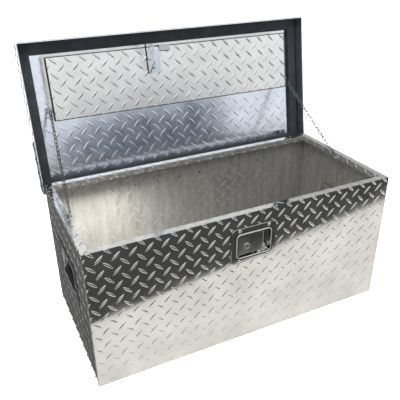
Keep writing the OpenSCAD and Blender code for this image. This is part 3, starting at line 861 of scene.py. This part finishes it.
def make_latch_dish():
    """Flange, raised round rim and dish, pressed from one sheet."""
    low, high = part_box("latch_dish")
    middle = (low + high) / 2
    centre = Vector((middle.x, 0, middle.z))
    flange_w, flange_h = high.x - low.x, high.z - low.z
    dish_w, dish_h = flange_w - 31 * MM, flange_h - 33 * MM
    front, flange, floor = -low.y, -low.y - 2.5 * MM, -high.y + 1.5 * MM
    lip = 14  # width of the ring round the rim that is painted black: painted shade
    flange_rows = ((0, 14, flange, -1.1), (0, 14, flange, -0.5), (-1, 13.5, flange, 0))
    dish_rows = ((lip, 12, flange, 0), (6.4, 10, flange, 0), (5.4, 9.6, flange, 0.4),
                 (4.8, 9.2, flange, 1.5), (4, 8.8, front, -0.2), (3, 8.2, front, 0), (2, 7.6, front, -0.25),
                 (1, 7, front, -1.1), (0, 6.6, front, -2.6), (-1, 6, floor, 3), (-2.6, 5, floor, 0.6),
                 (-5.4, 4, floor, 0))
    bm = bmesh.new()
    axes = (X, Z, -Y)
    rings = (pressed_rings(bm, axes, centre, flange_w, flange_h, flange_rows)
             + pressed_rings(bm, axes, centre, dish_w, dish_h, dish_rows))
    loft(bm, rings)
    dish_floor(bm, rings[-1], floor, middle.z)
    obj = add_open_sheet("latch_dish_pressed", bm, "latch_metal", "box", -Y)

    # The flange's faces close round the rim take the black rubber: painted shade round the rim.
    def shaded_rim_ring(face):
        return (abs(face.y + flange) < 0.1 * MM and abs(face.x - middle.x) < (dish_w + lip * MM) / 2
                and abs(face.z - middle.z) < (dish_h + lip * MM) / 2)

    inner_faces(obj, shaded_rim_ring, MATERIALS["gasket_rubber"])
    shade(obj, 40)
    thicken(obj, 1.1 * MM)
    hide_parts("latch_dish")


def side_name(side):
    """side is -1 for the left end and 1 for the right."""
    return "left" if side < 0 else "right"


def make_handle_pan(side):
    """The pan that the folded grip lies in: its plate, its mouth and its floor."""
    node = "handle_pan_" + side_name(side)
    low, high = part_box(node)
    outer, floor = max(abs(low.x), abs(high.x)), min(abs(low.x), abs(high.x)) + 1.5 * MM
    bail_low, bail_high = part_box("bail_" + side_name(side))
    plate = Vector((0, 0, (low.z + high.z) / 2))
    pan = Vector((0, 0, plate.z - 5 * MM))
    plate_w, plate_h = high.y - low.y, high.z - low.z
    mouth_w, mouth_h = bail_high.y - bail_low.y - 11 * MM, plate_h - 31 * MM
    plate_rows = ((0, 12, outer, -1.2), (0, 12, outer, -0.5), (-1.2, 11.5, outer, 0))
    pan_rows = ((8, 12, outer, 0), (5, 10.5, outer, -0.5), (2.6, 9, outer, -2.2), (1.4, 8, outer, -5),
                (-0.6, 7, floor, 4.5), (-2.6, 6, floor, 1.4), (-7, 4, floor, 0))
    bm = bmesh.new()
    axes = (Y * side, Z, X * side)
    rings = (pressed_rings(bm, axes, plate, plate_w, plate_h, plate_rows)
             + pressed_rings(bm, axes, pan, mouth_w, mouth_h, pan_rows))
    loft(bm, rings)
    bm.faces.new(rings[-1])
    obj = add_open_sheet(node + "_pressed", bm, "handle_metal", "box", X * side)
    shade(obj, 40)
    thicken(obj, 1.2 * MM)
    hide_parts(node)


def make_pan_shadow_bead(side):
    """A black rubber bead round the handle pan's edge against the end panel, drawn as the dark gap line
    there: partly a seal, partly painted shadow.
    """
    node = "handle_pan_" + side_name(side)
    low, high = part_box(node)
    outer = max(abs(low.x), abs(high.x))
    centre = Vector((0, 0, (low.z + high.z) / 2))
    rows = [(grow, 12 + grow / 2, outer, rise)
            for grow, rise in ((-0.2, -1.7), (4, -1.7), (3.4, -0.5), (2.4, -0.1), (-0.2, -0.1))]
    bm = bmesh.new()
    rings = pressed_rings(bm, (Y * side, Z, X * side), centre, high.y - low.y, high.z - low.z, rows)
    loft(bm, rings + rings[:1])
    shade(add_object(node + "_shadow_bead", bm, "gasket_rubber", "box"), 40)


# ---------------------------------------------------------------- bent rod, grips and chains

TURNED_SIDES = 32
GRIP_GROOVES = 11
GROOVE_PITCH = 7 * MM


def circle(bm, centre, side, other, radius, sides):
    """Vertices round a centre, in the plane of two directions."""
    angles = (2 * math.pi * k / sides for k in range(sides))
    return [bm.verts.new(centre + (side * math.cos(a) + other * math.sin(a)) * radius) for a in angles]


def tube(bm, path, radius, sides, closed=False):
    """A round rod swept along a path of points."""
    count = len(path)
    rings, side = [], None
    for i, point in enumerate(path):
        before = path[i - 1] if closed or i else path[i]
        after = path[(i + 1) % count] if closed or i < count - 1 else path[i]
        direction = (after - before).normalized()
        side = side or direction.orthogonal()
        side = (side - direction * side.dot(direction)).normalized()
        rings.append(circle(bm, point, side, direction.cross(side), radius, sides))
    loft(bm, rings)
    if closed:
        bridge(bm, rings[-1], rings[0])
    else:
        bm.faces.new(rings[0])
        bm.faces.new(rings[-1])


def bend_corners(points, radius):
    """The path through the points with each inner corner bent to a radius."""
    path = [points[0]]
    for before, corner, after in zip(points, points[1:], points[2:]):
        start = corner + (before - corner).normalized() * radius
        end = corner + (after - corner).normalized() * radius
        for i in range(CORNER_STEPS + 1):
            t = i / CORNER_STEPS
            path.append(start * (1 - t) ** 2 + corner * 2 * t * (1 - t) + end * t * t)
    return path + [points[-1]]


def turned(bm, profile, centre, axis):
    """A shape turned about an axis from (distance along the axis, radius) pairs."""
    side = axis.orthogonal().normalized()
    other = axis.cross(side)
    rings = [circle(bm, centre + axis * along, side, other, radius, TURNED_SIDES)
             for along, radius in profile]
    loft(bm, rings)
    bm.faces.new(rings[0])
    bm.faces.new(rings[-1])


def make_bail(side):
    """The bent rod: two pivots, two arms and the stretch that carries the grip."""
    name = side_name(side)
    low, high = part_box("bail_" + name)
    rod = (high.x - low.x) / 2
    x, pivot_z, grip_z = (low.x + high.x) / 2, high.z - rod, low.z + rod
    arm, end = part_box("grip_" + name)[1].y + 5 * MM, high.y
    corners = ((-end, pivot_z), (-arm, pivot_z), (-arm, grip_z),
               (arm, grip_z), (arm, pivot_z), (end, pivot_z))
    bm = bmesh.new()
    tube(bm, bend_corners([Vector((x, y, z)) for y, z in corners], 5 * MM), rod, 14)
    bail = add_object("bail_bent_" + name, bm, "zinc_steel", "bail_" + name)
    shade(bail, 50)
    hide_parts("bail_" + name)


def grip_profile(half, radius):
    """(along, radius) pairs of the ribbed grip: rounded ends, and grooves between the ribs."""
    profile = [(-half, radius - 2.6 * MM), (-half + 0.6 * MM, radius - 1 * MM), (-half + 2 * MM, radius)]
    for i in range(GRIP_GROOVES):
        at = (i - (GRIP_GROOVES - 1) / 2) * GROOVE_PITCH
        profile += [(at - 1.1 * MM, radius), (at - 0.5 * MM, radius - 0.7 * MM),
                    (at + 0.5 * MM, radius - 0.7 * MM), (at + 1.1 * MM, radius)]
    profile += [(half - 2 * MM, radius), (half - 0.6 * MM, radius - 1 * MM), (half, radius - 2.6 * MM)]
    return profile


def make_grip(side):
    name = side_name(side)
    bail_low, bail_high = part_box("bail_" + name)
    low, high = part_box("grip_" + name)
    centre = Vector(((bail_low.x + bail_high.x) / 2, 0, bail_low.z + (bail_high.x - bail_low.x) / 2))
    bm = bmesh.new()
    turned(bm, grip_profile(high.y, (high.z - low.z) / 2), centre, Y)
    grip = add_object("grip_ribbed_" + name, bm, "vinyl_grip", "bail_" + name)
    shade(grip, 35)
    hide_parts("grip_" + name)


def make_bolt_coil():
    """The return spring: its turns close up as the bolt is drawn back."""
    low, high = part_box("bolt_spring")
    wire, turns, steps = 0.6 * MM, 7, 16
    middle_y, middle_z = (low.y + high.y) / 2, (low.z + high.z) / 2
    radius = (high.z - low.z) / 2 - wire
    first, last = low.x + wire, high.x - wire
    path = []
    for i in range(turns * steps + 1):
        turn = 2 * math.pi * i / steps
        path.append(Vector((first + (last - first) * i / (turns * steps),
                            middle_y + radius * math.cos(turn), middle_z + radius * math.sin(turn))))
    bm = bmesh.new()
    tube(bm, path, wire, 8)
    coil = add_object("bolt_coil", bm, "zinc_steel", None)
    shade(coil, 60)
    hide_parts("bolt_spring")
    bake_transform(coil, "bolt", "box", start=(low.x, low.y, low.z), end=(high.x, low.y, low.z))


LINKS = 25
LINK_WIRE = 2.2 * MM
LINK_HALF_WIDTH = 2.9 * MM
EYE_INSET = 2.2 * MM  # from the corners of the CAD chain's box to its ends


def link_path(centre, along, across, half_length):
    """Centre line of one oval link."""
    straight = half_length - LINK_HALF_WIDTH
    path = []
    for end in (1, -1):
        for i in range(7):
            turn = math.pi * i / 6
            path.append(centre + along * end * (straight + LINK_HALF_WIDTH * math.sin(turn))
                        + across * end * LINK_HALF_WIDTH * math.cos(turn))
    return path


def make_chain(side):
    """One mesh of separate links from the eye in the rim's lip to the eye on the stiffener."""
    name = side_name(side)
    low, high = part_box("chain_" + name)
    inset = EYE_INSET
    start = Vector((side * (max(abs(low.x), abs(high.x)) - inset), low.y + inset, low.z + inset))
    end = Vector((side * (min(abs(low.x), abs(high.x)) + inset), high.y - inset, high.z - inset))
    along = (end - start).normalized()
    pitch = (end - start).length / LINKS
    across = along.cross(X).normalized()
    other = along.cross(across)
    bm = bmesh.new()
    wobble = random.Random(7)
    for i in range(LINKS):
        centre = start + along * pitch * (i + 0.5)
        lean = math.radians((45 if i % 2 else -45) + wobble.uniform(-9, 9))
        side_way = across * math.cos(lean) + other * math.sin(lean)
        tube(bm, link_path(centre, along, side_way, pitch / 2 + LINK_WIRE * 0.45), LINK_WIRE / 2, 8, True)
    chain = add_object("chain_links_" + name, bm, "chain_steel", None)
    shade(chain, 60)
    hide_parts("chain_" + name)
    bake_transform(chain, "box", "lid", start=tuple(start), end=tuple(end))


# ---------------------------------------------------------------- welds and painted shadow lines

def make_weld_shade_lines():
    """Thin ground weld along the box's upright corners and round its bottom edge, coloured near black:
    painted shade along the corners and painted contact shadow at the foot.
    """
    low, high = box_body()
    bead, inset, lid_skirt = 0.7 * MM, 0.3 * MM, 36 * MM
    foot, head = bead, high.z - lid_skirt
    corners = [(low.x + inset, low.y + inset), (high.x - inset, low.y + inset),
               (high.x - inset, high.y - inset), (low.x + inset, high.y - inset)]
    bm = bmesh.new()
    tube(bm, [Vector((x, y, foot)) for x, y in corners], bead, 8, True)
    for x, y in corners:
        tube(bm, [Vector((x, y, foot)), Vector((x, y, head))], bead, 8)
    shade(add_object("weld_shade_lines", bm, "handle_metal", "box", WELD_SHADE_METAL), 50)


def make_lid_shadow_lines():
    """Black lines of painted shadow, in the gasket's rubber: round the stiffener's face, down the root of
    the striker and round the stop clip.
    """
    low, high = closed_box("stiffener")
    hem = STIFFENER_HEM
    face = [Vector((x, y, low.z + 0.4 * MM)) for x, y in (
        (low.x + hem, low.y + hem), (high.x - hem, low.y + hem),
        (high.x - hem, high.y - hem), (low.x + hem, high.y - hem))]
    bm = bmesh.new()
    tube(bm, face, 1.2 * MM, 8, True)
    tube(bm, [face[0], face[3]], 2.2 * MM, 8)
    strike_low, strike_high = closed_box("striker")
    tube(bm, [Vector((strike_low.x, y, low.z)) for y in (strike_low.y, strike_high.y)], 2 * MM, 8)
    low, high = closed_box("stop_clip")
    clip = ((low.x, low.y, high.z), low, (low.x, high.y, low.z), (high.x, high.y, low.z))
    tube(bm, [Vector(corner) for corner in clip], 0.9 * MM, 8)
    bm.transform(LID_OPEN)
    shade(add_object("lid_shadow_lines", bm, "gasket_rubber", "lid"), 50)


# ---------------------------------------------------------------- foam seal

FOAM_SHOULDER = 2.2 * MM
LUG_ROOM = 1.7 * MM  # the foam is thinner than in CAD, so that the closed lid clears the rim's lugs
STATION_PITCH = 9 * MM


def foam_section(width, thickness):
    """(across, height) round a strip stuck down on its flat side: rounded shoulders and a low crown."""
    edge = FOAM_SHOULDER
    half = width / 2
    points = [(-half, 0), (-half, thickness * 0.45)]
    for i in range(4):
        turn = math.pi / 2 * i / 3
        points.append((-half + edge * (1 - math.cos(turn)), thickness - edge * (1 - math.sin(turn))))
    for i in range(1, 6):
        share = i / 6
        points.append((-half + edge + (width - 2 * edge) * share,
                       thickness + 0.5 * MM * math.sin(math.pi * share)))
    points += [(-u, h) for u, h in reversed(points[:6])]
    return points


def seal_ring(bm, section, thickness, centre, crosswise, narrow, sink):
    """One station of a strip: its upper half is moved by sink, and its width scaled by narrow."""
    ring = []
    for across, height in section:
        share = height / thickness
        drop = height + sink * share if share > 0.5 else height
        ring.append(bm.verts.new(centre + crosswise * (across * narrow) - Z * drop))
    return ring


def make_seal(node, seed):
    """A strip of closed-cell foam on the lid, with soft edges, small dents and cut ends."""
    low, high = closed_box(node)
    size = high - low
    lengthwise, crosswise = (X, Y) if size.x > size.y else (Y, X)
    length, width = size.dot(lengthwise), size.dot(crosswise)
    thickness = size.z - LUG_ROOM
    middle = Vector(((low.x + high.x) / 2, (low.y + high.y) / 2, high.z))
    dents = random.Random(seed)
    waves = [(dents.uniform(9, 40), dents.uniform(0, 6.28), dents.uniform(0.08, 0.22) * MM)
             for _ in range(5)]
    section = foam_section(width, thickness)
    bm = bmesh.new()
    rings = []
    stations = max(12, int(length / STATION_PITCH))
    for i in range(stations + 1):
        at = (i / stations - 0.5) * length
        pinch = 0.7 * MM if i in (0, stations) else 0
        sag = sum(depth * math.sin(rate * at * 10 + start) for rate, start, depth in waves)
        rings.append(seal_ring(bm, section, thickness, middle + lengthwise * at, crosswise,
                               1 - pinch / width, sag - 0.3 * MM - pinch))
    loft(bm, rings)
    bm.faces.new(rings[0])
    bm.faces.new(rings[-1])
    bm.transform(LID_OPEN)
    foam = add_object(node + "_foam", bm, "foam_seal", "lid")
    shade(foam, 40)
    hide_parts(node)


# ---------------------------------------------------------------- the whole scene

make_camera()
make_studio()
paint_cad_nodes()
make_box_sheets()
make_lid_sheet()
make_rounded_parts()
make_box_lugs()
make_lid_lugs()
make_box_imprints()
make_lid_imprints()
make_latch_dish()
make_bolt_coil()
make_lid_shadow_lines()
make_weld_shade_lines()
for way in (-1, 1):
    make_handle_pan(way)
    make_pan_shadow_bead(way)
    make_bail(way)
    make_grip(way)
    make_chain(way)
for number, strip in enumerate(("seal_front", "seal_back", "seal_left", "seal_right")):
    make_seal(strip, number)
